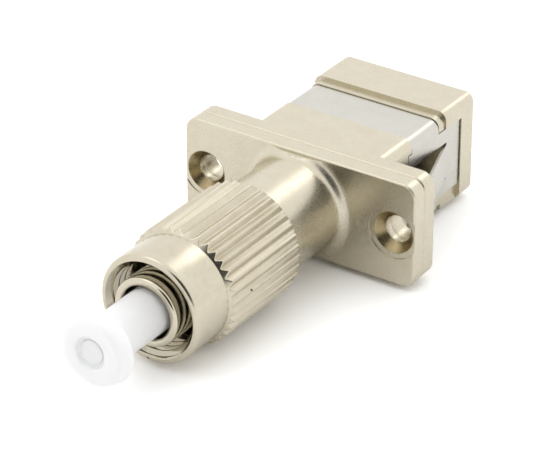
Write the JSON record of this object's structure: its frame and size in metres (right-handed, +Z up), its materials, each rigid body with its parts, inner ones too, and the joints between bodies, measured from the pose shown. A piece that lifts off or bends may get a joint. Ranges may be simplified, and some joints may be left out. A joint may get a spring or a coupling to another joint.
{
  "type": "hybrid fiber adapter",
  "caption": "Hybrid fiber adapter: spring-loaded ferrule plug with knurled coupling nut and dust cap, slotted flange, and a square push-pull socket with clip.",
  "frame": {"origin": "centre of the flange's rear face on the optical axis, midway between the two screw holes", "axes": "+Y along the optical axis out of the square socket, +X along the flange, +Z up; the round plug points to -Y"},
  "size_m": [0.022, 0.0445, 0.01],
  "materials": {
    "nickel_nut": "nickel plated brass, turned and knurled",
    "nickel_body": "nickel plated die casting",
    "nickel_barrel": "nickel plated brass, polished",
    "spring_steel": "bright spring wire",
    "steel": "turned stainless steel",
    "clip_steel": "bright cold-rolled spring sheet",
    "ceramic": "polished zirconia ceramic",
    "glass_fibre": "polished silica fibre",
    "dark_plastic": "moulded black thermoplastic",
    "cap_plastic": "milky translucent polyethylene"
  },
  "bodies": {
    "housing": {"front_body": "nickel_body", "rear_body": "nickel_body", "joining_pin_left": "nickel_body", "joining_pin_right": "nickel_body", "plug_barrel": "nickel_barrel", "spring_stop": "steel", "retaining_clip": "clip_steel", "latch_housing": "dark_plastic", "front_sleeve_holder": "dark_plastic", "split_sleeve": "ceramic"},
    "nut_carrier": {"nut_ring": "spring_steel"},
    "nut": {"coupling_nut": "nickel_nut"},
    "ferrule_unit": {"ferrule_holder": "steel", "front_ferrule": "ceramic", "rear_ferrule": "ceramic", "fibre_stub": "glass_fibre", "ferrule_spring": "spring_steel"},
    "cap": {"dust_cap": "cap_plastic"}
  },
  "joints": [
    {"name": "nut_slide", "type": "slide", "parent": "housing", "child": "nut_carrier", "axis": [0, 1, 0], "range_m": [0, 0.003]},
    {"name": "nut_spin", "type": "hinge", "parent": "nut_carrier", "child": "nut", "pos_m": [0, -0.0153, 0], "axis": [0, 1, 0], "continuous": true},
    {"name": "ferrule_float", "type": "slide", "parent": "housing", "child": "ferrule_unit", "axis": [0, 1, 0], "range_m": [0, 0.001], "stiffness_N_per_m": 1500, "deforming": ["ferrule_spring"]},
    {"name": "cap_pull", "type": "slide", "parent": "ferrule_unit", "child": "cap", "axis": [0, -1, 0], "range_m": [0, 0.012]}
  ]
}
